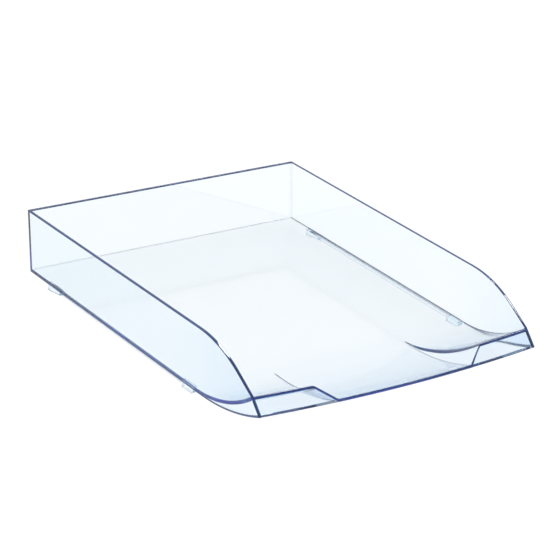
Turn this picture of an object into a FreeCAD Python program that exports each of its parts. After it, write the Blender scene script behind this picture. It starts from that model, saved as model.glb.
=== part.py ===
import FreeCAD, Part
import math
import os
import re
import Sketcher

# Desk letter tray for A4 paper: one thin-walled clear moulding, given here as the regions
# that it is made of, each a closed solid that meets its neighbours face to face.
#
# Every body is drawn in the moulding's own frame: X across, the front towards -Y, Y = 0 at
# the outer back rim and Z = 0 at the floor's underside. The bodies' Placement then puts the
# origin at the centre of the tray's length and width, level with the soles of its feet.
#
# The front is turned about one upright axis far behind the tray, so its lip, ramps and
# centre apron share one gentle bow in plan. A side profile is drawn as distances from that
# axis, and radii are driven by the plan radius of the front edge.

DIMENSIONS = (
    ("tray_width", 257.0, "across the back rim"),
    ("tray_length", 347.4, "back rim to the middle of the bowed front edge"),
    ("wall_height", 52.0, "floor underside to rim"),
    ("wall_thickness", 2.2, "walls, floor, ramps and lips"),
    ("wall_toe_in", 4.1, "how far each side wall closes in over the tray's length"),
    ("back_lean", 4.7, "how far the foot of the back wall stands ahead of its rim"),
    ("rear_corner_reach", 3.5, "how far the back wall's two ends run forward to the side walls"),
    ("rear_corner_radius", 1.0, "outside radius of the two upright rear corners"),
    ("rear_corner_fillet", 0.5, "inside radius of the two upright rear corners"),
    ("bow_radius", 1037.0, "plan radius of the front edge"),
    ("lip_base", 14.9, "front edge above the floor underside"),
    ("crest_height", 26.8, "top of the front lips"),
    ("crest_setback", 11.1, "crest behind the front edge"),
    ("ramp_run", 84.5, "start of the ramps behind the front edge"),
    ("sweep_run", 74.5, "start of the apron's upward sweep behind the front edge"),
    ("apron_width", 120.0, "between the feet of the two cheeks"),
    ("cheek_flare", 1.15, "how far a cheek leans outward for each unit that it rises"),
    ("rim_radius", 100.0, "bend where the side rims turn down towards the front"),
    ("rim_fall", 31.0, "angle of the side rims where they run down to the crest"),
    ("rail_depth", 3.0, "stacking rails below the floor"),
    ("rail_thickness", 2.0, "stacking rails across"),
    ("rail_inset", 2.0, "stacking rails in from the side walls' faces"),
    ("foot_height", 5.2, "feet below the floor"),
    ("foot_width", 4.5, "feet across"),
    ("rear_foot_inset", 0.3, "rear feet in from the side walls' faces"),
    ("front_foot_inset", 1.0, "front feet in from the side walls' faces"),
    ("rear_foot_start", 34.0, "back rim to the back of the rear feet"),
    ("rail_start", 54.0, "back rim to the back of the rails"),
    ("rail_end", 237.0, "back rim to the front of the rails"),
    ("front_foot_end", 253.0, "back rim to the front of the front feet"),
    ("foot_sole", 4.0, "flat sole of a rear foot, ahead of which it tapers to the rail"),
    ("foot_chamfer", 3.0, "length of the sloped nose of a front foot"),
)

BOW_AXIS = "(bow_radius - tray_length)"
HALF_WIDTH = "(tray_width / 2)"
HALF_APRON = "(apron_width / 2)"
CREST_RADIUS = "(bow_radius - crest_setback)"
SWEEP_START = "(bow_radius - sweep_run)"
RAMP_START = "(bow_radius - ramp_run)"
LIP_RISE = "(crest_height - lip_base)"
LIP_SLOPE = f"(crest_setback / {LIP_RISE})"
LIP_DEPTH = f"(wall_thickness * sqrt(1 + {LIP_SLOPE} ^ 2))"
RAMP_LENGTH = "(ramp_run - crest_setback)"
RAMP_RISE = "(crest_height - wall_thickness)"
RAMP_BEND = f"(({RAMP_LENGTH} ^ 2 + {RAMP_RISE} ^ 2) / (2 * {RAMP_RISE}))"
SWEEP_BEND = "((sweep_run ^ 2 + lip_base ^ 2) / (2 * lip_base))"

OVERRUN = 1.1        # profiles that a later cut trims run this much further than needed
CLEAR = 60           # cutting outlines stand at least this far outside the tray
SPARE = 20           # plates that a later cut trims stand this far ahead of the front edge
BOW_SECTOR = 9       # degrees of the bow that cover half of the tray's width
CHEEK_REACH = 22     # how far a cheek's slab is drawn outward before it is trimmed

SIDES = (("left", -1), ("right", 1))

doc = FreeCAD.newDocument("letter_tray")
sheet = doc.addObject("Spreadsheet::Sheet", "dims")
for row, (alias, size, meaning) in enumerate(DIMENSIONS, start=1):
    sheet.set(f"A{row}", meaning)
    sheet.set(f"B{row}", str(size))
    sheet.setAlias(f"B{row}", alias)
doc.recompute()


# ---------------------------------------------------------------- sketches and features

def bound(expression):
    """The expression with each of the sheet's aliases written as a reference to the sheet."""
    return re.sub(r"[a-z]+(?:_[a-z]+)+", lambda alias: "dims." + alias.group(), str(expression))


def number(expression):
    """What an expression comes to with the sheet's present sizes."""
    return float(sheet.evalExpression(str(expression)))


def new_body(label):
    """An empty body, placed so that the moulding's frame lands in the tray's own frame."""
    body = doc.addObject("PartDesign::Body", label)
    body.Label = label
    body.setExpression("Placement.Base.y", bound("tray_length / 2"))
    body.setExpression("Placement.Base.z", bound("foot_height"))
    return body


def new_sketch(body, name, role, offset=("0", "0", "0")):
    """A sketch on one of the body's origin planes, shifted by offset in the plane's axes."""
    plane = next(part for part in body.Origin.OriginFeatures if part.Role == role)
    sketch = body.newObject("Sketcher::SketchObject", f"{body.Label}_{name}")
    sketch.AttachmentSupport = [(plane, "")]
    sketch.MapMode = "FlatFace"
    for axis, distance in zip("xyz", offset):
        if distance != "0":
            sketch.setExpression(f"AttachmentOffset.Base.{axis}", bound(distance))
    return sketch


def upright_sketch(body, name, across="0"):
    """A side-view sketch at a distance across the tray: its X is Y and its Y is Z."""
    return new_sketch(body, name, "YZ_Plane", ("0", "0", across))


def bow_sketch(body, name):
    """A side-view sketch whose own origin is the bow's axis, so its X is minus a radius."""
    return new_sketch(body, name, "YZ_Plane", (BOW_AXIS, "0", "0"))


def plan_sketch(body, name):
    """A sketch seen from above, at the level of the floor's underside."""
    return new_sketch(body, name, "XY_Plane")


def arc_between(start, end, radius):
    """The shorter arc between two points; a positive radius bulges to the right of the way."""
    chord = end - start
    across = FreeCAD.Vector(-chord.y, chord.x, 0).normalize()
    reach = math.sqrt(radius ** 2 - (chord.Length / 2) ** 2)
    centre = (start + end) / 2 + across * math.copysign(reach, radius)
    if radius < 0:
        start, end = end, start
    turned = [math.atan2(point.y - centre.y, point.x - centre.x) for point in (start, end)]
    circle = Part.Circle(centre, FreeCAD.Vector(0, 0, 1), abs(radius))
    return Part.ArcOfCircle(circle, turned[0], turned[1])


def outline(sketch, corners, arcs=None):
    """One closed, fully constrained loop through corners that are given as expressions.

    Edge n runs from corner n to the next one. It is straight unless arcs[n] holds the
    expression of its radius, with a leading minus where the arc bulges to the left.
    """
    arcs = arcs or {}
    places = [FreeCAD.Vector(number(across), number(up), 0) for across, up in corners]
    first = sketch.GeometryCount
    for edge, start in enumerate(places):
        end = places[(edge + 1) % len(places)]
        if edge in arcs:
            shape = arc_between(start, end, number(arcs[edge]))
        else:
            shape = Part.LineSegment(start, end)
        sketch.addGeometry(shape, False)
    # An arc always runs anticlockwise, so one that bulges left is held the other way round.
    starts = [2 if edge in arcs and arcs[edge].startswith("-") else 1 for edge in range(len(corners))]
    for edge, (across, up) in enumerate(corners):
        after = (edge + 1) % len(corners)
        sketch.addConstraint(Sketcher.Constraint(
            "Coincident", first + edge, 3 - starts[edge], first + after, starts[after]))
        for kind, expression in (("DistanceX", across), ("DistanceY", up)):
            index = sketch.addConstraint(Sketcher.Constraint(
                kind, -1, 1, first + edge, starts[edge], number(expression)))
            sketch.setExpression(f"Constraints[{index}]", bound(expression))
        if edge in arcs:
            radius = arcs[edge].lstrip("-")
            index = sketch.addConstraint(Sketcher.Constraint("Radius", first + edge, number(radius)))
            sketch.setExpression(f"Constraints[{index}]", bound(radius))


def feature(body, kind, sketch, **settings):
    """A PartDesign feature on a sketch, as the body's new tip."""
    made = body.newObject(f"PartDesign::{kind}", f"{sketch.Name}_{kind.lower()}")
    made.Profile = sketch
    for name, setting in settings.items():
        setattr(made, name, setting)
    sketch.Visibility = False
    doc.recompute()
    return made


def pad_upward(body, sketch, height, lean=None):
    """A pad with its height bound to an expression; lean tilts it back by (run, rise)."""
    pad = feature(body, "Pad", sketch)
    pad.setExpression("Length", bound(height))
    if lean:
        pad.UseCustomVector = True
        pad.AlongSketchNormal = True
        pad.setExpression("Direction.x", "0")
        pad.setExpression("Direction.y", bound(lean[0]))
        pad.setExpression("Direction.z", bound(lean[1]))
    doc.recompute()
    return pad


def turn(body, sketch, kind, side):
    """Turn a sketch about the bow's axis: over both halves (side 0) or one half only."""
    made = feature(body, kind, sketch)
    made.ReferenceAxis = (sketch, ["V_Axis"])
    made.Angle = BOW_SECTOR if side else 2 * BOW_SECTOR
    made.Midplane = side == 0
    made.Reversed = side < 0
    doc.recompute()
    return made


def cut_through(body, sketch):
    """Cut a sketch right through the body, both ways."""
    pocket = feature(body, "Pocket", sketch)
    pocket.Midplane = True
    pocket.Type = "Length"
    pocket.Length = 4 * CLEAR + number("tray_width")
    doc.recompute()
    return pocket


# ---------------------------------------------------------------- shared lines and surfaces

def face_of_wall(along, inward="0"):
    """How far across a side wall's outer face is at a distance along the tray, less inward."""
    return f"({HALF_WIDTH} - ({inward}) + wall_toe_in * ({along}) / tray_length)"


def sided(side, expression):
    """An across-tray expression for the left or the right side."""
    return f"-({expression})" if side < 0 else f"({expression})"


def arc_drop(radius, run):
    """How far a circle has left its tangent after a run along that tangent."""
    return f"({radius} - sqrt({radius} ^ 2 - ({run}) ^ 2))"


def at_side_of_apron(radius):
    """Where a circle of the bow crosses the apron's edge, along the tray."""
    return f"({BOW_AXIS} - sqrt({radius} ^ 2 - {HALF_APRON} ^ 2))"


def sweep_band(start, knee, end_run, lowered="0"):
    """The apron's side profile: flat, then swept up on an arc, one wall thick.

    start and knee are positions along the sketch, and end_run is how far the arc goes on.
    """
    bend = SWEEP_BEND
    inner = f"({bend} - wall_thickness)"
    cosine = f"(sqrt({bend} ^ 2 - ({end_run}) ^ 2) / {bend})"
    corners = [
        (start, f"-({lowered})"),
        (start, f"wall_thickness - ({lowered})"),
        (knee, f"wall_thickness - ({lowered})"),
        (f"{knee} - ({end_run}) * {inner} / {bend}", f"{bend} - {inner} * {cosine} - ({lowered})"),
        (f"{knee} - ({end_run})", f"{bend} - {bend} * {cosine} - ({lowered})"),
        (knee, f"-({lowered})"),
    ]
    return corners, {2: f"-{inner}", 4: bend}


def trim_front(body, side, setback="0"):
    """Cut away all that stands ahead of the lips' face, or of a face set back behind it."""
    above, below = 30, 20
    sketch = bow_sketch(body, "front_trim")
    outline(sketch, [
        (f"-({CREST_RADIUS} - {setback} - {above} * {LIP_SLOPE})", f"crest_height + {above}"),
        (f"-(bow_radius - {setback})", "lip_base"),
        (f"-(bow_radius - {setback})", f"lip_base - {below}"),
        (f"-(bow_radius + {CLEAR})", f"lip_base - {below}"),
        (f"-(bow_radius + {CLEAR})", f"crest_height + {above}"),
    ])
    turn(body, sketch, "Groove", side)


def trim_above_ramp(body, side):
    """Cut away all that stands above the ramps' top."""
    run = f"({RAMP_LENGTH} * {OVERRUN})"
    sketch = bow_sketch(body, "top_trim")
    outline(sketch, [
        (f"-({RAMP_START} - {CLEAR})", "wall_thickness"),
        (f"-{RAMP_START}", "wall_thickness"),
        (f"-({RAMP_START} + {run})", f"wall_thickness + {arc_drop(RAMP_BEND, run)}"),
        (f"-({RAMP_START} + {run})", f"crest_height + {CLEAR}"),
        (f"-({RAMP_START} - {CLEAR})", f"crest_height + {CLEAR}"),
    ], {1: f"-{RAMP_BEND}"})
    turn(body, sketch, "Groove", side)


def trim_inboard(body, side):
    """Cut away the middle of the tray up to the underside of one cheek."""
    lowered = f"({HALF_APRON} / cheek_flare)"
    start = at_side_of_apron(RAMP_START)
    knee = at_side_of_apron(SWEEP_START)
    end_run = f"(sweep_run * {OVERRUN})"
    sketch = upright_sketch(body, "inboard_trim")
    outline(sketch, [
        (f"{start} + {CLEAR}", f"-{lowered}"),
        (knee, f"-{lowered}"),
        (f"{knee} - {end_run}", f"{arc_drop(SWEEP_BEND, end_run)} - {lowered}"),
        (f"{knee} - {end_run}", f"crest_height + {CLEAR}"),
        (f"{start} + {CLEAR}", f"crest_height + {CLEAR}"),
    ], {1: f"-{SWEEP_BEND}"})
    pocket = feature(body, "Pocket", sketch)
    slant_outward(pocket, side)
    pocket.setExpression("Length", bound(f"{HALF_APRON} + {CHEEK_REACH}"))
    doc.recompute()


def slant_outward(made, side):
    """Point a pad or pocket outward and up along the cheek's lean."""
    made.UseCustomVector = True
    made.AlongSketchNormal = True
    made.Reversed = False
    made.setExpression("Direction.x", bound(f"{side} * cheek_flare"))
    made.setExpression("Direction.y", "0")
    made.setExpression("Direction.z", "1")


def trim_outboard(body, side):
    """Cut away all that stands outside a side wall's inner face."""
    sketch = plan_sketch(body, "outboard_trim")
    front = f"(-tray_length - {CLEAR})"
    outline(sketch, [
        (sided(side, face_of_wall(0, "wall_thickness")), "0"),
        (sided(side, f"{HALF_WIDTH} + {CLEAR}"), "0"),
        (sided(side, f"{HALF_WIDTH} + {CLEAR}"), front),
        (sided(side, face_of_wall(front, "wall_thickness")), front),
    ])
    cut_through(body, sketch)


# ---------------------------------------------------------------- the moulding's regions

def floor_panel():
    """The flat floor, from the back wall to where the ramps begin to rise."""
    body = new_body("floor_panel")
    fillet = "rear_corner_fillet"
    inner_back = "(-back_lean - wall_thickness)"
    side_back = "(-back_lean - rear_corner_reach)"
    front = f"(-tray_length + ramp_run - {CLEAR})"
    inside = face_of_wall(side_back, "wall_thickness")
    sketch = plan_sketch(body, "outline")
    outline(sketch, [
        (f"-({inside} - {fillet})", inner_back),
        (f"-{inside}", f"{inner_back} - {fillet}"),
        (f"-{inside}", side_back),
        (f"-{face_of_wall(front, 'wall_thickness')}", front),
        (face_of_wall(front, "wall_thickness"), front),
        (inside, side_back),
        (inside, f"{inner_back} - {fillet}"),
        (f"{inside} - {fillet}", inner_back),
    ], {0: fillet, 6: fillet})
    pad_upward(body, sketch, "wall_thickness", ("back_lean", "wall_height"))
    edge = bow_sketch(body, "front_edge")
    outline(edge, [
        (f"-{RAMP_START}", f"-{CLEAR}"),
        (f"-{RAMP_START}", f"{CLEAR}"),
        (f"-(bow_radius + {CLEAR})", f"{CLEAR}"),
        (f"-(bow_radius + {CLEAR})", f"-{CLEAR}"),
    ])
    turn(body, edge, "Groove", 0)
    return body


def back_wall():
    """The leaning back wall with its two rounded upright corners."""
    body = new_body("back_wall")
    corner = "rear_corner_radius"
    fillet = "rear_corner_fillet"
    outer = "(-back_lean)"
    inner = "(-back_lean - wall_thickness)"
    ends = "(-back_lean - rear_corner_reach)"
    outside = face_of_wall("-rear_corner_reach")
    inside = face_of_wall("-rear_corner_reach", "wall_thickness")
    sketch = plan_sketch(body, "outline")
    outline(sketch, [
        (f"-({outside} - {corner})", outer),
        (f"-{outside}", f"{outer} - {corner}"),
        (f"-{outside}", ends),
        (f"-{inside}", ends),
        (f"-{inside}", f"{inner} - {fillet}"),
        (f"-({inside} - {fillet})", inner),
        (f"{inside} - {fillet}", inner),
        (inside, f"{inner} - {fillet}"),
        (inside, ends),
        (outside, ends),
        (outside, f"{outer} - {corner}"),
        (f"{outside} - {corner}", outer),
    ], {0: corner, 4: f"-{fillet}", 6: f"-{fillet}", 10: corner})
    pad_upward(body, sketch, "wall_height", ("back_lean", "wall_height"))
    return body


def side_wall(name, side):
    """One side wall: a plain plate, cut to the falling rim, the sweep and the front."""
    body = new_body(f"{name}_side_wall")
    front = f"(-tray_length - {SPARE})"
    sketch = plan_sketch(body, "outline")
    outline(sketch, [
        (sided(side, face_of_wall(0)), "0"),
        (sided(side, face_of_wall(front)), front),
        (sided(side, face_of_wall(front, "wall_thickness")), front),
        (sided(side, face_of_wall(0, "wall_thickness")), "0"),
    ])
    pad_upward(body, sketch, "wall_height")

    crest = f"({BOW_AXIS} - sqrt({CREST_RADIUS} ^ 2 - ({HALF_WIDTH} - wall_toe_in) ^ 2))"
    bend_drop = "(rim_radius * (1 - cos(rim_fall)))"
    slope_rise = f"(wall_height - {bend_drop} - crest_height)"
    bend_end = f"({crest} + {slope_rise} / tan(rim_fall))"
    bend_start = f"({bend_end} + rim_radius * sin(rim_fall))"
    past = 14
    lean_past = 10
    lean = "(back_lean / wall_height)"
    rim = upright_sketch(body, "rim")
    outline(rim, [
        (f"-rear_corner_reach - {lean} * (wall_height + {lean_past})", f"-{lean_past}"),
        ("-rear_corner_reach", "wall_height"),
        (bend_start, "wall_height"),
        (bend_end, f"wall_height - {bend_drop}"),
        (f"{crest} - {past}", f"crest_height - {past} * tan(rim_fall)"),
        (f"-tray_length - {CLEAR}", f"crest_height - {past} * tan(rim_fall)"),
        (f"-tray_length - {CLEAR}", f"wall_height + {CLEAR}"),
        (f"{CLEAR}", f"wall_height + {CLEAR}"),
        (f"{CLEAR}", f"-{lean_past}"),
    ], {2: "rim_radius"})
    cut_through(body, rim)

    run = f"(sweep_run * {OVERRUN} * {OVERRUN})"
    sweep = bow_sketch(body, "sweep")
    outline(sweep, [
        (f"-{SWEEP_START}", "0"),
        (f"-({SWEEP_START} + {run})", arc_drop(SWEEP_BEND, run)),
        (f"-({SWEEP_START} + {run})", f"-{CLEAR}"),
        (f"-{SWEEP_START}", f"-{CLEAR}"),
    ], {0: f"-{SWEEP_BEND}"})
    turn(body, sweep, "Groove", side)
    trim_front(body, side)
    return body


def centre_apron():
    """The low middle of the front, swept up between the two cheeks."""
    body = new_body("centre_apron")
    sketch = bow_sketch(body, "profile")
    outline(sketch, *sweep_band(f"-{RAMP_START}", f"-{SWEEP_START}", f"(sweep_run * {OVERRUN})"))
    turn(body, sketch, "Revolution", 0)
    trim_front(body, 0)
    sides = plan_sketch(body, "sides")
    for name, side in SIDES:
        outline(sides, [
            (sided(side, HALF_APRON), "0"),
            (sided(side, f"{HALF_APRON} + 2 * {CLEAR}"), "0"),
            (sided(side, f"{HALF_APRON} + 2 * {CLEAR}"), f"-tray_length - {CLEAR}"),
            (sided(side, HALF_APRON), f"-tray_length - {CLEAR}"),
        ])
    cut_through(body, sides)
    return body


def cheek(name, side):
    """The leaning web that joins the centre apron to a ramp and a lip."""
    body = new_body(f"{name}_cheek")
    sketch = upright_sketch(body, "profile", sided(side, HALF_APRON))
    start = at_side_of_apron(RAMP_START)
    knee = at_side_of_apron(SWEEP_START)
    outline(sketch, *sweep_band(start, knee, f"(sweep_run * {OVERRUN})"))
    pad = feature(body, "Pad", sketch)
    slant_outward(pad, side)
    pad.Length = CHEEK_REACH
    doc.recompute()
    trim_above_ramp(body, side)
    trim_front(body, side)
    return body


def front_ramp(name, side):
    """One of the two ramps that rise from the floor to the front lips."""
    body = new_body(f"{name}_front_ramp")
    run = f"({RAMP_LENGTH} * {OVERRUN})"
    lower_bend = f"({RAMP_BEND} + wall_thickness)"
    cosine = f"(sqrt({RAMP_BEND} ^ 2 - {run} ^ 2) / {RAMP_BEND})"
    sketch = bow_sketch(body, "profile")
    outline(sketch, [
        (f"-{RAMP_START}", "0"),
        (f"-{RAMP_START}", "wall_thickness"),
        (f"-({RAMP_START} + {run})", f"wall_thickness + {arc_drop(RAMP_BEND, run)}"),
        (f"-({RAMP_START} + {run} * {lower_bend} / {RAMP_BEND})", f"{lower_bend} * (1 - {cosine})"),
    ], {1: f"-{RAMP_BEND}", 3: lower_bend})
    turn(body, sketch, "Revolution", side)
    trim_front(body, side, LIP_DEPTH)
    trim_inboard(body, side)
    trim_outboard(body, side)
    return body


def front_lip(name, side):
    """The sloping front face below a ramp's crest."""
    body = new_body(f"{name}_front_lip")
    above = 8
    sketch = bow_sketch(body, "profile")
    outline(sketch, [
        ("-bow_radius", "lip_base"),
        (f"-(bow_radius - {LIP_DEPTH})", "lip_base"),
        (f"-({CREST_RADIUS} - {LIP_DEPTH} - {above} * {LIP_SLOPE})", f"crest_height + {above}"),
        (f"-({CREST_RADIUS} - {above} * {LIP_SLOPE})", f"crest_height + {above}"),
    ])
    turn(body, sketch, "Revolution", side)
    trim_above_ramp(body, side)
    trim_inboard(body, side)
    trim_outboard(body, side)
    return body


def stacking_rail(name, side):
    """The thin rib under one side, which keeps a stacked tray on the rim below it."""
    body = new_body(f"{name}_stacking_rail")
    far_side = "(rail_inset + rail_thickness)"
    sketch = plan_sketch(body, "outline")
    outline(sketch, [
        (sided(side, face_of_wall("-rail_start", "rail_inset")), "-rail_start"),
        (sided(side, face_of_wall("-rail_end", "rail_inset")), "-rail_end"),
        (sided(side, face_of_wall("-rail_end", far_side)), "-rail_end"),
        (sided(side, face_of_wall("-rail_start", far_side)), "-rail_start"),
    ])
    pad = feature(body, "Pad", sketch, Reversed=True)
    pad.setExpression("Length", bound("rail_depth"))
    doc.recompute()
    return body


def foot(label, side, corners, along, inset):
    """A foot under one side: a side-view outline given its width across the tray."""
    body = new_body(label)
    sketch = upright_sketch(body, "profile", sided(side, face_of_wall(along, inset)))
    outline(sketch, corners)
    pad = feature(body, "Pad", sketch, Reversed=side > 0)
    pad.setExpression("Length", bound("foot_width"))
    doc.recompute()
    return body


def rear_foot(name, side):
    """A foot with a short flat sole at its back, tapering forward to meet the rail."""
    return foot(f"{name}_rear_foot", side, [
        ("-rear_foot_start", "0"),
        ("-rail_start", "0"),
        ("-rail_start", "-rail_depth"),
        ("-rear_foot_start - foot_sole", "-foot_height"),
        ("-rear_foot_start", "-foot_height"),
    ], "-rail_start", "rear_foot_inset")


def front_foot(name, side):
    """A foot that ends the rail, with a sloped nose."""
    return foot(f"{name}_front_foot", side, [
        ("-rail_end", "0"),
        ("-front_foot_end", "0"),
        ("-front_foot_end", "-rail_depth"),
        ("-front_foot_end + foot_chamfer", "-foot_height"),
        ("-rail_end", "-foot_height"),
    ], "-front_foot_end", "front_foot_inset")


bodies = [floor_panel(), back_wall(), centre_apron()]
for region in (side_wall, front_ramp, cheek, front_lip, stacking_rail, rear_foot, front_foot):
    for side_name, direction in SIDES:
        bodies.append(region(side_name, direction))

# ---------------------------------------------------------------- checks, then the files

doc.recompute()
for item in doc.Objects:
    if {"Invalid", "Error"} & set(item.State):
        raise SystemExit(f"{item.Name} did not recompute: {item.State}")
for item in doc.findObjects("Sketcher::SketchObject"):
    if not item.FullyConstrained:
        raise SystemExit(f"{item.Name} is not fully constrained")
for body in bodies:
    shape = body.Shape
    if shape.isNull() or not shape.isValid() or len(shape.Solids) != 1:
        raise SystemExit(f"{body.Label} is not one valid solid")

os.makedirs("parts", exist_ok=True)
for body in bodies:
    body.Shape.exportStep(f"parts/{body.Label}.step")
    box = body.Shape.BoundBox
    print(f"{body.Label:22s} {body.Shape.Volume:10.1f} mm3  "
          f"x {box.XMin:8.2f} {box.XMax:8.2f}  y {box.YMin:8.2f} {box.YMax:8.2f}  "
          f"z {box.ZMin:6.2f} {box.ZMax:6.2f}")
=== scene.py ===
import bmesh
import bpy
import math
from mathutils import Matrix, Vector


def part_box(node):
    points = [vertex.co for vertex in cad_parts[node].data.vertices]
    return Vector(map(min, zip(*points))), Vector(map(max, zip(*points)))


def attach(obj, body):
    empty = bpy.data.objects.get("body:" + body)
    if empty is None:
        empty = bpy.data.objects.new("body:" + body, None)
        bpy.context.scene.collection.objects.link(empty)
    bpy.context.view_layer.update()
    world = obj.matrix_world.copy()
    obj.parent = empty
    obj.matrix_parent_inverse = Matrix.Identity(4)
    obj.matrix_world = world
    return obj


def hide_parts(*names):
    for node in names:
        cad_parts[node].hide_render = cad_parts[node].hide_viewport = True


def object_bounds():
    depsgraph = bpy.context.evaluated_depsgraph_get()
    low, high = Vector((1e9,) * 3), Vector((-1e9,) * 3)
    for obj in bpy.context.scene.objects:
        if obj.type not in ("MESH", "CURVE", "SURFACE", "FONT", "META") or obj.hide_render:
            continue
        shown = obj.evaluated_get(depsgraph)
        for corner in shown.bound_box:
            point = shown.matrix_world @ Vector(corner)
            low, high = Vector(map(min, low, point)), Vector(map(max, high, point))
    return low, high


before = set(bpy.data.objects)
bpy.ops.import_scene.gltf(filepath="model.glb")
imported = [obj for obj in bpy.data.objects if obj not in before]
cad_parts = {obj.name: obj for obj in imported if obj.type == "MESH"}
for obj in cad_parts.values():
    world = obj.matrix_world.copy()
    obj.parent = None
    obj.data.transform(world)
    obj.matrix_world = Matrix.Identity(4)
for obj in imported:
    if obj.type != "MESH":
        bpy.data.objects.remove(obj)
cad_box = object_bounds()

# A clear, pale blue letter tray. It is drawn as the single moulding that it is: one closed
# skin of plates, with its rails and feet, in place of the CAD model's face-to-face regions.
#
# Sizes are in millimetres in the moulding's own frame: X across, the front towards -Y,
# Y = 0 at the outer back rim and Z = 0 at the floor's underside. place() turns them into
# the frame's metres.

MM = 0.001

# ---------------------------------------------------------------- sizes from the frame

floor_low, floor_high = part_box("floor_panel")
back_low, back_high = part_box("back_wall")
apron_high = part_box("centre_apron")[1]
lip_low, lip_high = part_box("right_front_lip")
rail_low, rail_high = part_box("right_stacking_rail")
rear_foot_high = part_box("right_rear_foot")[1]
front_foot_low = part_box("right_front_foot")[0]

BACK = back_high.y / MM                                  # the back rim's place in the frame
FOOT = floor_low.z / MM                                  # feet below the floor
WALL = (floor_high.z - floor_low.z) / MM                 # wall, floor and ramp thickness
HEIGHT = (back_high.z - back_low.z) / MM                 # floor underside to rim
LENGTH = 2 * BACK                                        # back rim to the bowed front edge
HALF_APRON = apron_high.x / MM                           # middle to the foot of a cheek
LIP_BASE = lip_low.z / MM - FOOT                         # front edge above the floor underside
CREST = lip_high.z / MM - FOOT                           # top of the front lips
RAIL_DEPTH = FOOT - rail_low.z / MM
RAIL_START = rail_high.y / MM - BACK
RAIL_END = rail_low.y / MM - BACK
REAR_FOOT_START = rear_foot_high.y / MM - BACK
FRONT_FOOT_END = front_foot_low.y / MM - BACK

# ---------------------------------------------------------------- sizes of the design

TOE_IN = 4.1            # how far each side wall closes in over the tray's length
BACK_LEAN = 4.7         # how far the foot of the back wall stands ahead of its rim
CORNER_REACH = 3.5      # how far the back wall's ends run forward to the side walls
CORNER = 1.0            # outside radius of the two upright rear corners
CORNER_FILLET = 0.5     # inside radius of the same corners
BOW = 1037.0            # plan radius of the front edge
CREST_SETBACK = 11.1    # crest behind the front edge
RAMP_RUN = 84.5         # start of the ramps behind the front edge
SWEEP_RUN = 74.5        # start of the apron's upward sweep behind the front edge
CHEEK_FLARE = 1.15      # how far a cheek leans outward for each unit that it rises
RIM_BEND = 100.0        # radius of the bend where a side rim turns down
RIM_FALL = math.radians(31)
RAIL_INSETS = (2.0, 4.0)
REAR_FOOT_INSETS = (0.3, 4.8)
FRONT_FOOT_INSETS = (1.0, 5.5)
FOOT_SOLE = 4.0
FOOT_NOSE = 3.0
CREST_BAND = 0.17       # part of the lips' face, under the crest, painted dark as shade of light trapped there
APRON_BAND = 0.5        # the same for the apron's front edge
CHEEK_SPREAD = 3        # columns of a lip's lower edge, beside a cheek, painted dark as shade with it
RIM_BAND = 0.9          # depth of a side wall's outer face, under the rim, painted dark as shade too
BACK_BAND = 1.6         # the same for the back wall
SOLE_BAND = 1.6         # height of the side walls' foot that is painted dark as shade

BOW_AXIS = BOW - LENGTH
RAMP_START = BOW - RAMP_RUN
SWEEP_START = BOW - SWEEP_RUN
CREST_RADIUS = BOW - CREST_SETBACK
LIP_SLOPE = CREST_SETBACK / (CREST - LIP_BASE)
LIP_DEPTH = WALL * math.hypot(1, LIP_SLOPE)
SWEEP_BEND = (SWEEP_RUN ** 2 + LIP_BASE ** 2) / (2 * LIP_BASE)
RAMP_RISE = CREST - WALL
RAMP_BEND = ((RAMP_RUN - CREST_SETBACK) ** 2 + RAMP_RISE ** 2) / (2 * RAMP_RISE)
HALF_WIDTH = back_high.x / MM + TOE_IN * CORNER_REACH / LENGTH


# ---------------------------------------------------------------- lines of the design

def place(x, y, z):
    """A point of the moulding's frame in millimetres, as one of the frame in metres."""
    return Vector((x, y + BACK, z + FOOT)) * MM


def side_face(y, inward=0.0):
    """How far across a side wall's outer face is, less inward."""
    return HALF_WIDTH - inward + TOE_IN * y / LENGTH


def leaning(y, height):
    """How far along the tray a line that leans with the back wall is at a height."""
    return y - BACK_LEAN * (1 - height / HEIGHT)


def bowed(x, radius):
    """Where a circle of the bow crosses a line along the tray."""
    return BOW_AXIS - math.sqrt(radius ** 2 - x ** 2)


def on_side_face(radius, inward=0.0):
    """(x, y) where a circle of the bow crosses a side wall's outer face, less inward."""
    x = HALF_WIDTH
    for _ in range(6):
        x = side_face(bowed(x, radius), inward)
    return x, bowed(x, radius)


def arc_height(radius, start, bend):
    """Height of an arc of radius bend that leaves the flat at start, where radius is."""
    return bend - math.sqrt(bend ** 2 - max(radius - start, 0) ** 2)


def apron_under(radius):
    return arc_height(radius, SWEEP_START, SWEEP_BEND)


def apron_top(radius):
    return WALL + arc_height(radius, SWEEP_START, SWEEP_BEND - WALL)


def ramp_top(radius):
    return WALL + arc_height(radius, RAMP_START, RAMP_BEND)


def ramp_under(radius):
    return arc_height(radius, RAMP_START, RAMP_BEND + WALL)


def lip_face(height, setback=0.0):
    """Radius of the lips' sloping face at a height, or of a face set back behind it."""
    return BOW - setback - (height - LIP_BASE) * LIP_SLOPE


def meeting(profile, setback=0.0):
    """Radius where a side profile meets the lips' face, or a face set back behind it."""
    low, high = SWEEP_START, BOW
    for _ in range(50):
        middle = (low + high) / 2
        if middle < lip_face(profile(middle), setback):
            low = middle
        else:
            high = middle
    return (low + high) / 2


CREST_Y = on_side_face(CREST_RADIUS, WALL)[1]
RIM_DROP = RIM_BEND * (1 - math.cos(RIM_FALL))
BEND_END = CREST_Y + (HEIGHT - RIM_DROP - CREST) / math.tan(RIM_FALL)
BEND_START = BEND_END + RIM_BEND * math.sin(RIM_FALL)


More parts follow.
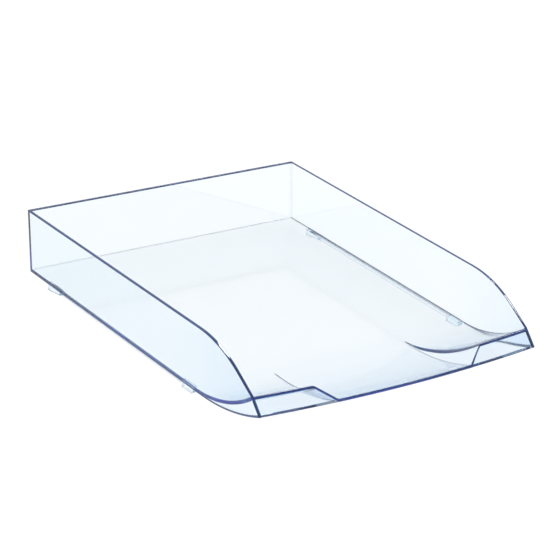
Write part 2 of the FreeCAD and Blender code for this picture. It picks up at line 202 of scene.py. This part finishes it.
def rim_height(y):
    """Height of a side wall's rim: level, then an arc, then a straight fall to the crest."""
    if y >= BEND_START:
        return HEIGHT
    if y >= BEND_END:
        return HEIGHT - RIM_BEND + math.sqrt(RIM_BEND ** 2 - (BEND_START - y) ** 2)
    return CREST + (y - CREST_Y) * math.tan(RIM_FALL)


# ---------------------------------------------------------------- the skin as a mesh

CLEAR, PAINTED_DARK, GRAINED, ROUNDED = range(4)    # kinds of face: polished, plate end or band painted dark as shade, matt, corner


class Skin:
    """Collects faces whose points are shared wherever they coincide."""

    def __init__(self):
        self.points = []
        self.lookup = {}
        self.faces = []

    def point(self, at):
        key = tuple(round(c / MM, 3) for c in at)
        if key not in self.lookup:
            self.lookup[key] = len(self.points)
            self.points.append(at)
        return self.lookup[key]

    def face(self, corners, finish=CLEAR):
        ring = []
        for corner in map(self.point, corners):
            if corner not in ring:
                ring.append(corner)
        if len(ring) > 2:
            self.faces.append((ring, finish))

    def strip(self, one, other, finish=CLEAR):
        """Quads between two rows of equally many points."""
        for a, b, c, d in zip(one, one[1:], other[1:], other):
            self.face((a, b, c, d), finish)

    def mesh(self, name):
        data = bpy.data.meshes.new(name)
        data.from_pydata([tuple(p) for p in self.points], [], [ring for ring, _ in self.faces])
        for polygon, (_, finish) in zip(data.polygons, self.faces):
            polygon.material_index = finish
        return data


def mirrored(row):
    """A row across the tray from its right half: the left half first, then the right."""
    return [Vector((-p.x, p.y, p.z)) for p in reversed(row)] + [p for p in row if p.x > 0]


RAMP_COLUMNS = 6
APRON_COLUMNS = 6
FIRST_STEPS = 2


def radii(end, count):
    """Radii from the start of the ramps to end, with the start of the apron's sweep kept."""
    first = [RAMP_START + (SWEEP_START - RAMP_START) * i / FIRST_STEPS for i in range(FIRST_STEPS)]
    left = count - FIRST_STEPS
    return first + [SWEEP_START + (end - SWEEP_START) * i / left for i in range(left + 1)]


INNER_CREST = meeting(ramp_under, LIP_DEPTH)
HOLLOW_STEPS, LIP_STEPS = 22, 3
STEPS = HOLLOW_STEPS + LIP_STEPS + 1


def hollow_profile():
    """(radius, height) from the start of a ramp's underside to the front edge, below the lip."""
    profile = [(r, ramp_under(r)) for r in radii(INNER_CREST, HOLLOW_STEPS)]
    top = ramp_under(INNER_CREST)
    for i in range(1, LIP_STEPS + 1):
        height = top + (LIP_BASE - top) * i / LIP_STEPS
        profile.append((lip_face(height, LIP_DEPTH), height))
    return profile + [(BOW, LIP_BASE)]


def top_row(ramp_radius, apron_radius):
    """The upper skin's points across the right half of the front, from the middle outward."""
    height = ramp_top(ramp_radius)
    cheek_top = HALF_APRON + CHEEK_FLARE * (height - apron_top(ramp_radius))
    outer = on_side_face(ramp_radius, WALL)[0]
    row = []
    for i in range(APRON_COLUMNS + 1):
        x = HALF_APRON * i / APRON_COLUMNS
        row.append(place(x, bowed(x, apron_radius), apron_top(apron_radius)))
    row.append(place(cheek_top, bowed(cheek_top, ramp_radius), height))
    for i in range(RAMP_COLUMNS + 1):
        x = cheek_top + (outer - cheek_top) * i / RAMP_COLUMNS
        row.append(place(x, bowed(x, ramp_radius), height))
    return row


def under_row(radius, height):
    """The lower skin's points across the right half of the front, from the middle outward."""
    cheek_top = HALF_APRON + CHEEK_FLARE * (height - apron_under(radius))
    outer = on_side_face(radius, WALL)[0]
    row = []
    for i in range(APRON_COLUMNS + 1):
        x = HALF_APRON * i / APRON_COLUMNS
        row.append(place(x, bowed(x, radius), apron_under(radius)))
    row.append(place(cheek_top, bowed(cheek_top, radius), height))
    for i in range(RAMP_COLUMNS + 1):
        x = cheek_top + (outer - cheek_top) * i / RAMP_COLUMNS
        row.append(place(x, bowed(x, radius), height))
    return row


RELIEF_ROWS = (leaning(-CORNER_REACH, 0), REAR_FOOT_START, REAR_FOOT_START - FOOT_SOLE, RAIL_START,
               RAIL_END, FRONT_FOOT_END + FOOT_NOSE, FRONT_FOOT_END)
RELIEF_INSETS = sorted({0.0, *RAIL_INSETS, *REAR_FOOT_INSETS, *FRONT_FOOT_INSETS})
CORNER_STEPS = 6
REAR_STATIONS = CORNER_STEPS + 2     # those of a rear corner, with the end of its side wall


def relief_depth(row, column):
    """Depths of one cell of the underside at its back and front ends."""
    span = RELIEF_INSETS[column:column + 2]
    if len(span) < 2:
        return 0.0, 0.0
    back, front = RELIEF_ROWS[row], RELIEF_ROWS[row + 1]
    if REAR_FOOT_INSETS[0] <= span[0] and span[1] <= REAR_FOOT_INSETS[1]:
        if back == REAR_FOOT_START:
            return FOOT, FOOT
        if front == RAIL_START:
            return FOOT, RAIL_DEPTH
    if RAIL_INSETS[0] <= span[0] and span[1] <= RAIL_INSETS[1] and back == RAIL_START:
        return RAIL_DEPTH, RAIL_DEPTH
    if FRONT_FOOT_INSETS[0] <= span[0] and span[1] <= FRONT_FOOT_INSETS[1]:
        if back == RAIL_END:
            return FOOT, FOOT
        if front == FRONT_FOOT_END:
            return FOOT, RAIL_DEPTH
    return 0.0, 0.0


def underside(skin):
    """The floor's underside behind the ramps, with the rails and feet standing from it."""
    rows, columns = len(RELIEF_ROWS) - 1, len(RELIEF_INSETS)

    def at(side, row, column, depth):
        y = RELIEF_ROWS[row]
        return place(side * side_face(y, RELIEF_INSETS[column]), y, -depth)

    def depths_at(row, column):
        """Every depth that the cells round a grid point have there."""
        found = set()
        for r in (row - 1, row):
            for c in (column - 1, column):
                if 0 <= r < rows and 0 <= c < columns:
                    found.add(relief_depth(r, c)[row - r])
                else:
                    found.add(0.0)
        return found

    def riser(side, one, other, depths_a, depths_b):
        """The upright face on the line between two grid points, between two cells' depths."""
        ring = []
        for node, start, end in ((one, depths_a[0], depths_b[0]), (other, depths_b[1], depths_a[1])):
            low, high = sorted((start, end))
            stops = sorted(d for d in depths_at(*node) | {start, end} if low <= d <= high)
            ring += [at(side, *node, d) for d in (stops if start <= end else reversed(stops))]
        skin.face(ring)

    for side in (-1, 1):
        for row in range(rows):
            for column in range(columns - 1):
                back, front = relief_depth(row, column)
                skin.face((at(side, row, column, back), at(side, row, column + 1, back),
                           at(side, row + 1, column + 1, front), at(side, row + 1, column, front)),
                          CLEAR if back or front else GRAINED)
                riser(side, (row, column + 1), (row + 1, column + 1),
                      (back, front), relief_depth(row, column + 1))
                inner = relief_depth(row, column - 1) if column else (0.0, 0.0)
                if column == 0:
                    riser(side, (row, 0), (row + 1, 0), inner, (back, front))
                if row + 1 < rows:
                    ahead = relief_depth(row + 1, column)[0]
                    riser(side, (row + 1, column), (row + 1, column + 1),
                          (front, front), (ahead, ahead))
                elif front:
                    riser(side, (row + 1, column), (row + 1, column + 1), (front, front), (0.0, 0.0))
    last = columns - 1
    for row in range(rows):
        skin.face((at(-1, row, last, 0), at(1, row, last, 0),
                   at(1, row + 1, last, 0), at(-1, row + 1, last, 0)), GRAINED)
    right_front = [at(1, rows, column, 0) for column in reversed(range(columns))]
    right_back = [at(1, 0, column, 0) for column in reversed(range(columns))]
    return mirrored(right_back), mirrored(right_front)


def wall_end(inward, height):
    """The rear end of the right side wall, where the back wall's rounded corner takes over."""
    y = leaning(-CORNER_REACH, height)
    return place(side_face(y, inward), y, height)


def round_corner(inward, radius, height, turn):
    """A point of the right rear corner's arc, which turns from the side wall to the back."""
    y = leaning(-inward - radius, height)
    x = side_face(y, inward + radius)
    return place(x + radius * math.cos(turn), y + radius * math.sin(turn), height)


def wall_stations():
    """Cross-sections of the walls from the right crest round the back to the left crest.

    Each gives the rim's outer and inner point, the inner face's foot and the outer face's foot.
    """
    profile = hollow_profile()
    sections = []
    for k in range(STEPS, -1, -1):
        radius = radii(CREST_RADIUS, STEPS)[k]
        x_out, y_out = on_side_face(radius)
        x_in, y_in = on_side_face(radius, WALL)
        rim = rim_height(y_in)
        below = profile[k][0]
        x_low, y_low = on_side_face(below)
        sections.append((place(x_out, y_out, rim), place(x_in, y_in, rim),
                         place(x_in, y_in, ramp_top(radius)), place(x_low, y_low, apron_under(below))))
    for y in reversed(RELIEF_ROWS[1:]):
        sections.append((place(side_face(y), y, HEIGHT), place(side_face(y, WALL), y, HEIGHT),
                         place(side_face(y, WALL), y, WALL), place(side_face(y), y, 0)))

    sections.append((wall_end(0, HEIGHT), wall_end(WALL, HEIGHT), wall_end(WALL, WALL),
                     wall_end(0, 0)))
    for step in range(CORNER_STEPS + 1):
        turn = math.pi / 2 * step / CORNER_STEPS
        sections.append((round_corner(0, CORNER, HEIGHT, turn),
                         round_corner(WALL, CORNER_FILLET, HEIGHT, turn),
                         round_corner(WALL, CORNER_FILLET, WALL, turn),
                         round_corner(0, CORNER, 0, turn)))
    right = list(map(list, zip(*sections)))
    return [line + [Vector((-p.x, p.y, p.z)) for p in reversed(line)] for line in right]


def over_cheek(column, columns, spread=0):
    """Whether a column of the front's rows is over a cheek, or within spread of it on the lip."""
    return RAMP_COLUMNS - spread <= min(column, columns - 1 - column) <= RAMP_COLUMNS + 1


def build_skin():
    skin = Skin()
    rim_out, rim_in, foot_in, foot_out = wall_stations()
    half = len(foot_in) // 2
    side = half - REAR_STATIONS + 1
    bands = [RIM_BAND] * side + [BACK_BAND] * 2 * (half - side) + [RIM_BAND] * side
    brow_out = [rim.lerp(foot, band * MM / (rim.z - foot.z))
                for rim, foot, band in zip(rim_out, foot_out, bands)]
    sole_out = [foot.lerp(rim, SOLE_BAND * MM / (rim.z - foot.z))
                for rim, foot in zip(rim_out, foot_out)]
    # The rim's top, a band under it and, on the side walls, a band over the foot are painted dark:
    # painted shade.
    skin.strip(rim_out, rim_in, PAINTED_DARK)
    skin.strip(rim_in, foot_in)
    skin.strip(rim_out, brow_out, PAINTED_DARK)
    skin.strip(brow_out, sole_out)
    skin.strip(sole_out[:side], foot_out[:side], PAINTED_DARK)
    skin.strip(sole_out[side - 1:-side + 1], foot_out[side - 1:-side + 1])
    skin.strip(sole_out[-side:], foot_out[-side:], PAINTED_DARK)

    # The floor's top: the rounded rear, one long panel, then the bowed row where ramps start.
    skin.face(foot_in[half - REAR_STATIONS:half + REAR_STATIONS], GRAINED)
    flat = len(RELIEF_ROWS) - 1
    for i in range(flat):
        near = half - REAR_STATIONS - 1 - i
        skin.face((foot_in[near + 1], foot_in[near],
                   foot_in[-1 - near], foot_in[-2 - near]), GRAINED)
    top_rows = [mirrored(top_row(a, b)) for a, b in zip(radii(CREST_RADIUS, STEPS),
                                                        radii(meeting(apron_top), STEPS))]
    near = half - REAR_STATIONS - flat
    skin.face([foot_in[-1 - near]] + top_rows[0] + [foot_in[near]], GRAINED)

    # The underside, the same way, with the hollows under the ramps.
    profile = hollow_profile()
    under_rows = [mirrored(under_row(radius, height)) for radius, height in profile]
    back_edge, front_edge = underside(skin)
    skin.face(back_edge + foot_out[half - REAR_STATIONS:half + REAR_STATIONS], GRAINED)
    left_out, right_out = foot_out[-1 - STEPS], foot_out[STEPS]
    skin.face(front_edge + [right_out] + list(reversed(under_rows[0])) + [left_out], GRAINED)
    for one, other in zip(top_rows, top_rows[1:]):
        skin.strip(one, other, GRAINED)
    for one, other in zip(under_rows, under_rows[1:-1]):
        skin.strip(one, other, GRAINED)
    # The lips' lower edge beside the cheeks is painted dark as painted shade.
    columns = len(under_rows[-1]) - 1
    for i in range(columns):
        skin.strip(under_rows[-2][i:i + 2], under_rows[-1][i:i + 2],
                   PAINTED_DARK if over_cheek(i, columns, CHEEK_SPREAD) else GRAINED)

    # Under the ramps the side walls go on down: an inner face and a narrow lower edge, painted dark as
    # painted shade.
    for side in (-1, 1):
        low_out, low_in, high_in = [], [], []
        for radius, height in profile:
            x_out, y_out = on_side_face(radius)
            x_in, y_in = on_side_face(radius, WALL)
            low_out.append(place(side * x_out, y_out, apron_under(radius)))
            low_in.append(place(side * x_in, y_in, apron_under(radius)))
            high_in.append(place(side * x_in, y_in, height))
        skin.strip(low_out, low_in, PAINTED_DARK)
        skin.strip(low_in, high_in)

    # The front face closes the skin between the crest and the front edge. The wall ends, the
    # cheeks and a band along the crest and the apron are painted dark there, as painted shade.
    top = [rim_out[-1]] + top_rows[-1] + [rim_out[0]]
    under = [foot_out[-1]] + under_rows[-1] + [foot_out[0]]
    band = []
    for i, (high, low) in enumerate(zip(top, under)):
        lip_or_cheek = min(i, len(top) - 1 - i) <= RAMP_COLUMNS + 2
        band.append(high.lerp(low, CREST_BAND if lip_or_cheek else APRON_BAND))
    skin.strip(top[1:-1], band[1:-1], PAINTED_DARK)
    for end, beside, station in ((0, 1, -1), (-1, -2, 0)):
        skin.face((top[end], brow_out[station], sole_out[station], under[end],
                   under[beside], band[beside], top[beside]), PAINTED_DARK)
    for i in range(columns):
        skin.strip(band[i + 1:i + 3], under[i + 1:i + 3], PAINTED_DARK if over_cheek(i, columns) else CLEAR)
    return skin


# ---------------------------------------------------------------- rounded corners

# How far each rounding reaches along the faces beside it, in millimetres. At a square corner
# that is its radius.
SHARP = math.radians(18)     # a corner that turns by more than this is rounded
ROUND = 0.35                 # the ordinary moulded corners
FOLD_ROUND = 0.5             # where the walls and the ramps meet the floor, inside
CREST_ROUND = 1.1            # along the top of the front lips
HORN_ROUND = 3.0             # where a ramp and its lip's crest turn down into a cheek
ROOM = 0.4                   # a corner takes no more than this part of the faces beside it
ROUND_STEPS = 2              # faces across a rounding
FLAT_WEIGHT = 90             # how strongly the big faces keep their own shading, out of 100


def at_crest(point):
    """Whether a point is at the height of the lips' crest, on the front."""
    return abs(point.z / MM - FOOT - CREST) < 0.01


def turns_into_cheek(edge, run, middle):
    """Whether an edge is the upper fold, from back to front, between a ramp and a cheek."""
    lengthwise = abs(run.y) > max(abs(run.x), abs(run.z))
    upper = all(face.normal.z > 0.05 for face in edge.link_faces)
    inside = abs(middle.x) / MM < HALF_APRON + CHEEK_FLARE * CREST
    return edge.is_convex and lengthwise and upper and inside


def corner_radius(edge):
    """How far the rounding along an edge reaches, in millimetres."""
    ends = [v.co for v in edge.verts]
    middle = (ends[0] + ends[1]) / 2
    room = min(f.calc_area() for f in edge.link_faces) / edge.calc_length() / MM
    radius = ROUND
    if all(map(at_crest, ends)) and abs(middle.x) / MM < side_face(CREST_Y, WALL) - 1:
        radius = CREST_ROUND
    elif turns_into_cheek(edge, ends[1] - ends[0], middle):
        radius = HORN_ROUND
    elif not edge.is_convex and middle.z / MM > FOOT + WALL / 2:
        radius = FOLD_ROUND
    return min(radius, ROOM * room)


def stands_out(face):
    """Whether a rounding face belongs to an outer corner of the walls, the ramps or the floor."""
    turns = [e.calc_face_angle(0) * (1 if e.is_convex else -1) for e in face.edges]
    return sum(turns) > 0 and face.calc_center_median().z > (FOOT - ROUND) * MM


def over_rail(face):
    """Whether a rounding face lies where a side wall meets the floor, above a rail or a foot."""
    at = face.calc_center_median() / MM
    along = REAR_FOOT_START > at.y - BACK > FRONT_FOOT_END
    level = abs(at.z - FOOT - WALL) < FOLD_ROUND
    return along and level and abs(at.x) > side_face(at.y - BACK, WALL) - FOLD_ROUND


def add_piece(name, data):
    piece = bpy.data.objects.new(name, data)
    bpy.context.scene.collection.objects.link(piece)
    return piece


def rounded(skin, name):
    """The skin as a piece, with its corners rounded and its plate ends, bands and outer bends marked
    to be painted dark, as painted shade.
    """
    draft = skin.mesh(name + "_draft")
    work = bmesh.new()
    work.from_mesh(draft)
    bmesh.ops.recalc_face_normals(work, faces=work.faces)
    weight = work.edges.layers.float.new("bevel_weight_edge")
    for edge in work.edges:
        if edge.calc_face_angle(0) > SHARP:
            edge[weight] = corner_radius(edge) / HORN_ROUND
    for face in work.faces:
        face.smooth = True
    work.to_mesh(draft)
    work.free()
    for _ in (CLEAR, PAINTED_DARK, GRAINED, ROUNDED):
        draft.materials.append(None)
    model = add_piece(name + "_draft", draft)
    bevel = model.modifiers.new("corners", "BEVEL")
    bevel.limit_method = "WEIGHT"
    bevel.width = HORN_ROUND * MM
    bevel.segments = ROUND_STEPS
    bevel.use_clamp_overlap = False
    bevel.material = ROUNDED
    graph = bpy.context.evaluated_depsgraph_get()
    data = bpy.data.meshes.new_from_object(model.evaluated_get(graph))
    data.name = name
    bpy.data.objects.remove(model)
    bpy.data.meshes.remove(draft)
    work = bmesh.new()
    work.from_mesh(data)
    painted_edge_shade = work.faces.layers.float.new("painted_edge_shade")
    grain = work.faces.layers.float.new("grain")
    for face in work.faces:
        kind = face.material_index
        # Plate ends, bands and outer roundings are marked for painted shade: a dark blue that stands
        # in for light trapped in the plate.
        bent = kind == ROUNDED and (stands_out(face) or over_rail(face))
        face[painted_edge_shade] = float(kind == PAINTED_DARK or bent)
        face[grain] = float(kind == GRAINED)
        face.material_index = 0
    work.to_mesh(data)
    work.free()
    data.materials.clear()
    piece = add_piece(name, data)
    normals = piece.modifiers.new("normals", "WEIGHTED_NORMAL")
    normals.mode = "FACE_AREA"
    normals.weight = FLAT_WEIGHT
    normals.keep_sharp = True
    return piece


# ---------------------------------------------------------------- materials

def node(tree, kind, place_at, **values):
    """A shader node with its properties and its unlinked inputs set by name."""
    made = tree.nodes.new(kind)
    made.location = place_at
    for key, value in values.items():
        if hasattr(made, key):
            setattr(made, key, value)
        else:
            made.inputs[key.replace("_", " ").title()].default_value = value
    return made


ABSORPTION = (0.40, 0.74, 0.97)      # what a clear blue polystyrene leaves of red, green, blue
DENSITY = 44.0                       # per metre
REFRACTION = 1.59
EDGE_PAINTED_SHADE = (0.004, 0.038, 0.17)     # painted shade: the deep blue of light trapped where the plastic ends
DEEP_TINT = (0.88, 0.935, 1.0)       # the front of the tray is a little deeper in colour
DEEP_START = -225.0                  # and turns so from here to the front edge, millimetres
GRAIN_ROUGHNESS = 0.07               # added on the slightly matt floor, ramps and underside
EDGE_CLARITY = 0.28                  # how much light the faces with that painted shade still pass
PALE_FLOW = (0.975, 0.99, 0.995)     # the two tints between which the plastic's flow varies
CLEAR_FLOW = (0.99, 0.998, 1.0)
POLISH = (0.015, 0.05)               # least and most roughness of the polished faces
WAVE_STRENGTH = 0.05                 # the faces are not quite flat
WAVE_DEPTH = 0.0003                  # metres


def clear_polystyrene():
    material = bpy.data.materials.new("clear_blue_polystyrene")
    material.use_nodes = True
    tree = material.node_tree
    tree.nodes.clear()
    output = node(tree, "ShaderNodeOutputMaterial", (600, 0))
    shader = node(tree, "ShaderNodeBsdfPrincipled", (300, 0))
    shader.inputs["IOR"].default_value = REFRACTION
    volume = node(tree, "ShaderNodeVolumeAbsorption", (300, -500))
    volume.inputs["Color"].default_value = (*ABSORPTION, 1)
    volume.inputs["Density"].default_value = DENSITY
    where = node(tree, "ShaderNodeTexCoord", (-900, 0))

    # Moulded gloss: a faint flow pattern in the tint, and a polish that varies a little.
    flow = node(tree, "ShaderNodeTexNoise", (-600, 300))
    flow.inputs["Scale"].default_value = 9.0
    flow.inputs["Detail"].default_value = 2.0
    tint = node(tree, "ShaderNodeValToRGB", (-300, 300))
    tint.color_ramp.elements[0].position = 0.3
    tint.color_ramp.elements[0].color = (*PALE_FLOW, 1)
    tint.color_ramp.elements[1].position = 0.7
    tint.color_ramp.elements[1].color = (*CLEAR_FLOW, 1)
    along = node(tree, "ShaderNodeSeparateXYZ", (-900, 600))
    frontness = node(tree, "ShaderNodeMapRange", (-600, 600), interpolation_type="SMOOTHSTEP")
    frontness.inputs["From Min"].default_value = place(0, DEEP_START, 0).y
    frontness.inputs["From Max"].default_value = place(0, -LENGTH, 0).y
    deeper = node(tree, "ShaderNodeMix", (-100, 400), data_type="RGBA", blend_type="MULTIPLY")
    deeper.inputs[7].default_value = (*DEEP_TINT, 1)
    polish = node(tree, "ShaderNodeTexNoise", (-600, 0))
    polish.inputs["Scale"].default_value = 140.0
    polish.inputs["Detail"].default_value = 3.0
    rough = node(tree, "ShaderNodeMapRange", (-300, 0))
    rough.inputs["To Min"].default_value = POLISH[0]
    rough.inputs["To Max"].default_value = POLISH[1]
    matt = node(tree, "ShaderNodeAttribute", (-300, -150), attribute_name="grain")
    rougher = node(tree, "ShaderNodeMath", (0, -50), operation="MULTIPLY_ADD")
    rougher.inputs[1].default_value = GRAIN_ROUGHNESS
    waves = node(tree, "ShaderNodeTexNoise", (-600, -300))
    waves.inputs["Scale"].default_value = 28.0
    bump = node(tree, "ShaderNodeBump", (0, -300))
    bump.inputs["Strength"].default_value = WAVE_STRENGTH
    bump.inputs["Distance"].default_value = WAVE_DEPTH
    # Painted shade: the marked ends and bands get a dark blue base colour and pass less light,
    # standing in for light trapped in the plate.
    edge_shade_mask = node(tree, "ShaderNodeAttribute", (-300, 600), attribute_name="painted_edge_shade")
    edged = node(tree, "ShaderNodeMix", (0, 400), data_type="RGBA")
    edged.inputs[7].default_value = (*EDGE_PAINTED_SHADE, 1)
    passing = node(tree, "ShaderNodeMapRange", (0, 150))
    passing.inputs["To Min"].default_value = 1.0
    passing.inputs["To Max"].default_value = EDGE_CLARITY
    link = tree.links.new
    for texture in (flow, polish, waves):
        link(where.outputs["Object"], texture.inputs["Vector"])
    link(flow.outputs["Fac"], tint.inputs["Fac"])
    link(where.outputs["Object"], along.inputs["Vector"])
    link(along.outputs["Y"], frontness.inputs["Value"])
    link(frontness.outputs["Result"], deeper.inputs["Factor"])
    link(tint.outputs["Color"], deeper.inputs[6])
    link(deeper.outputs[2], edged.inputs[6])
    link(edge_shade_mask.outputs["Fac"], edged.inputs["Factor"])
    link(edge_shade_mask.outputs["Fac"], passing.inputs["Value"])
    link(edged.outputs[2], shader.inputs["Base Color"])
    link(passing.outputs["Result"], shader.inputs["Transmission Weight"])
    link(polish.outputs["Fac"], rough.inputs["Value"])
    link(matt.outputs["Fac"], rougher.inputs[0])
    link(rough.outputs["Result"], rougher.inputs[2])
    link(rougher.outputs["Value"], shader.inputs["Roughness"])
    link(waves.outputs["Fac"], bump.inputs["Height"])
    link(bump.outputs["Normal"], shader.inputs["Normal"])
    link(shader.outputs["BSDF"], output.inputs["Surface"])
    link(volume.outputs["Volume"], output.inputs["Volume"])
    return material


FLOOR_GLOW = 0.972
FLOOR_PALE = (0.06, 0.06, 0.06)


def studio_floor():
    """A lit, pale table: mostly its own even light, with a little left for shadows."""
    material = bpy.data.materials.new("studio_floor")
    material.use_nodes = True
    shader = material.node_tree.nodes["Principled BSDF"]
    shader.inputs["Base Color"].default_value = (*FLOOR_PALE, 1)
    shader.inputs["Roughness"].default_value = 1.0
    shader.inputs["Specular IOR Level"].default_value = 0.0
    shader.inputs["Emission Color"].default_value = (1, 1, 1, 1)
    shader.inputs["Emission Strength"].default_value = FLOOR_GLOW
    return material


# ---------------------------------------------------------------- the tray

tray = rounded(build_skin(), "tray_moulding")
tray.data.materials.append(clear_polystyrene())
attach(tray, "root")
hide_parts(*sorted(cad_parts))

# ---------------------------------------------------------------- studio

FLOOR_REACH = 6.0            # metres each way
base = cad_box[0].z
floor_data = bpy.data.meshes.new("floor")
floor_data.from_pydata(
    [(x * FLOOR_REACH, y * FLOOR_REACH, base) for x, y in ((-1, -1), (1, -1), (1, 1), (-1, 1))],
    [], [(0, 1, 2, 3)])
floor_data.materials.append(studio_floor())
floor = add_piece("floor", floor_data)


def softbox(name, lit_point, towards, distance, width, height, power):
    """An area light at a distance in a direction from the point that it faces."""
    lamp = bpy.data.lights.new(name, "AREA")
    lamp.shape = "RECTANGLE"
    lamp.size = width
    lamp.size_y = height
    lamp.energy = power
    rig = bpy.data.objects.new(name, lamp)
    direction = Vector(towards).normalized()
    rig.location = lit_point + direction * distance
    rig.rotation_euler = direction.to_track_quat("Z", "Y").to_euler()
    bpy.context.scene.collection.objects.link(rig)
    return rig


# Two softboxes whose reflections lie across the side rims where they turn down.
LEFT_BEND = place(-side_face(BEND_END, WALL / 2), BEND_END, HEIGHT - RIM_DROP)
RIGHT_BEND = place(side_face(BEND_END, WALL / 2), BEND_END, HEIGHT - RIM_DROP)
RIM_LIGHT_AWAY = 2.3         # metres
softbox("left_rim_light", LEFT_BEND, (0.493, 0.365, 0.79), RIM_LIGHT_AWAY, 0.5, 0.9, 22)
softbox("right_rim_light", RIGHT_BEND, (0.609, 0.075, 0.79), RIM_LIGHT_AWAY, 0.4, 0.5, 9)

WHITE_CARD = (0.53, 0.76, 0.39)      # the direction of the white card behind the tray
CARD_INNER = math.radians(35)        # it is full white to this far from its middle
CARD_OUTER = math.radians(60)        # and has faded into the room here
CARD_GLOW = 0.95
DIM_ROOM = 0.7


def studio_world():
    """Soft white behind the tray, where its floor mirrors it, and dimmer all round."""
    world = bpy.data.worlds.new("studio")
    world.use_nodes = True
    tree = world.node_tree
    background = tree.nodes["Background"]
    background.inputs["Color"].default_value = (1, 1, 1, 1)
    direction = node(tree, "ShaderNodeTexCoord", (-900, 0))
    towards = node(tree, "ShaderNodeVectorMath", (-600, 0), operation="DOT_PRODUCT")
    towards.inputs[1].default_value = Vector(WHITE_CARD).normalized()
    level = node(tree, "ShaderNodeMapRange", (-300, 0), interpolation_type="SMOOTHSTEP")
    level.inputs["From Min"].default_value = math.cos(CARD_OUTER)
    level.inputs["From Max"].default_value = math.cos(CARD_INNER)
    level.inputs["To Min"].default_value = DIM_ROOM
    level.inputs["To Max"].default_value = CARD_GLOW
    tree.links.new(direction.outputs["Generated"], towards.inputs[0])
    tree.links.new(towards.outputs["Value"], level.inputs["Value"])
    tree.links.new(level.outputs["Result"], background.inputs["Strength"])
    return world


bpy.context.scene.world = studio_world()
bpy.context.scene.view_settings.view_transform = "Standard"

# Light that is caught in a clear plate turns back many times before it leaves it.
BOUNCES = 40
light_paths = bpy.context.scene.cycles
light_paths.max_bounces = BOUNCES
light_paths.glossy_bounces = BOUNCES
light_paths.transmission_bounces = BOUNCES

# ---------------------------------------------------------------- camera

AIM = (43.467, 59.372, 5.2)          # the point in the middle of the picture, millimetres
AZIMUTH = math.radians(34.702)
ELEVATION = math.radians(23.145)
ROLL = math.radians(2.8925)
DISTANCE = 1761.345                  # millimetres
LENS = 138.42                        # millimetres
SENSOR = 36.0                        # millimetres across

forward = Vector((math.sin(AZIMUTH) * math.cos(ELEVATION),
                  math.cos(AZIMUTH) * math.cos(ELEVATION), -math.sin(ELEVATION)))
level = forward.cross(Vector((0, 0, 1))).normalized()
upright = level.cross(forward)
right = level * math.cos(ROLL) + upright * math.sin(ROLL)
up = right.cross(forward)
camera_data = bpy.data.cameras.new("camera")
camera_data.sensor_width = SENSOR
camera_data.lens = LENS
camera = bpy.data.objects.new("camera", camera_data)
camera.matrix_world = Matrix.Translation((Vector(AIM) - forward * DISTANCE) * MM) @ Matrix(
    (right, up, -forward)).transposed().to_4x4()
bpy.context.scene.collection.objects.link(camera)
bpy.context.scene.camera = camera
